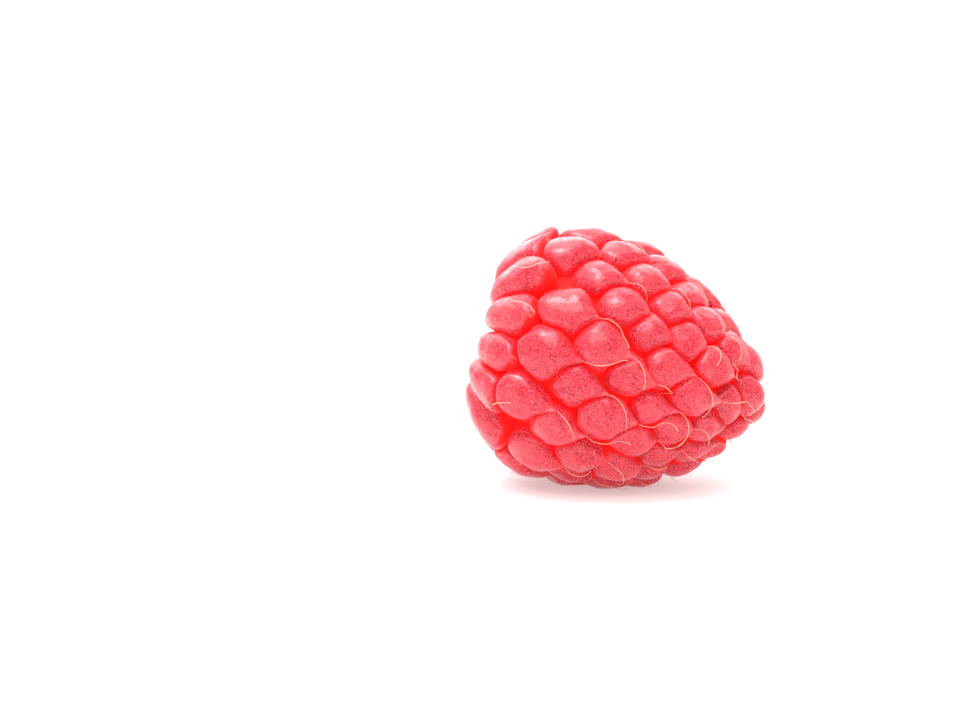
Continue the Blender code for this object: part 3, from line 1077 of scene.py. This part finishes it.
def studio():
    """A white floor and sky, the lights, and the camera."""
    scene = bpy.context.scene
    scene.view_settings.view_transform = "Standard"
    world = bpy.data.worlds.new("studio")
    world.use_nodes = True
    scene.world = world
    net = Net(world.node_tree)
    up = net.parts(net.wire("ShaderNodeTexCoord", None, None, "Generated"))[2]
    background = net.tree.nodes["Background"]
    background.inputs["Color"].default_value = (1, 1, 1, 1)
    net.fill(background.inputs["Strength"], HORIZON + (ZENITH - HORIZON) * net.ease(up, 0.3, 0.7))
    low, high = packed_box
    mesh = bpy.data.meshes.new("floor")
    sides = [(-1, -1), (1, -1), (1, 1), (-1, 1)]
    corners = [(x * FLOOR_SIZE, y * FLOOR_SIZE, low.z) for x, y in sides]
    mesh.from_pydata(corners, [], [(0, 1, 2, 3)])
    floor = bpy.data.objects.new("floor", mesh)
    scene.collection.objects.link(floor)
    sockets = {
        "Base Color": FLOOR_GREY,
        "Roughness": 0.9,
        "Specular IOR Level": 0.1,
        "Emission Color": (1, 1, 1, 1),
        "Emission Strength": FLOOR_GLOW,
    }
    material, _, _ = finish_tree("floor_white", sockets)
    mesh.materials.append(material)
    for name, (direction, width, strength) in LIGHTS.items():
        far_light(name, Vector(direction), math.radians(width), strength)
    camera((low + high) / 2)


def far_light(name, direction, width, strength):
    """A light far away in one direction, as wide in the sky as an angle."""
    light = bpy.data.lights.new(name, "SUN")
    light.angle = width
    light.energy = strength
    lamp = bpy.data.objects.new(name, light)
    bpy.context.scene.collection.objects.link(lamp)
    lamp.rotation_mode = "QUATERNION"
    lamp.rotation_quaternion = (-direction).to_track_quat("-Z", "Y")


def camera(middle):
    """The camera: nearly level, from the front and a little to the tip's side."""
    lens = bpy.data.cameras.new("camera")
    lens.lens = LENS
    lens.sensor_width = 36
    lens.clip_start = 10 * MM
    eye = bpy.data.objects.new("camera", lens)
    bpy.context.scene.collection.objects.link(eye)
    back = Vector(
        (
            math.sin(AZIMUTH) * math.cos(ELEVATION),
            -math.cos(AZIMUTH) * math.cos(ELEVATION),
            math.sin(ELEVATION),
        )
    )
    right = Vector((math.cos(AZIMUTH), math.sin(AZIMUTH), 0))
    eye.location = middle - right * ASIDE + back * DISTANCE - Vector((0, 0, BELOW))
    eye.rotation_mode = "QUATERNION"
    eye.rotation_quaternion = back.to_track_quat("Z", "Y")
    bpy.context.scene.camera = eye


def main():
    draw = random.Random(SEED)
    rim = rim_drupelets(draw)
    drupelets = rim + flank_drupelets(settled(spiral_seats(draw), rim))
    flesh = flesh_object()
    bpy.context.scene.collection.objects.link(flesh)
    seats = seats_mesh(drupelets, draw)
    berry = drupelets_piece(seats, flesh, len(drupelets), skin_finish())
    bpy.data.objects.remove(flesh)
    styles = styles_piece(style_roots(berry, drupelets, draw), berry, style_finish())
    down = down_piece(berry, down_finish())
    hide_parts("berry")
    for piece in (berry, styles, down):
        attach(piece, "root")
    studio()


main()
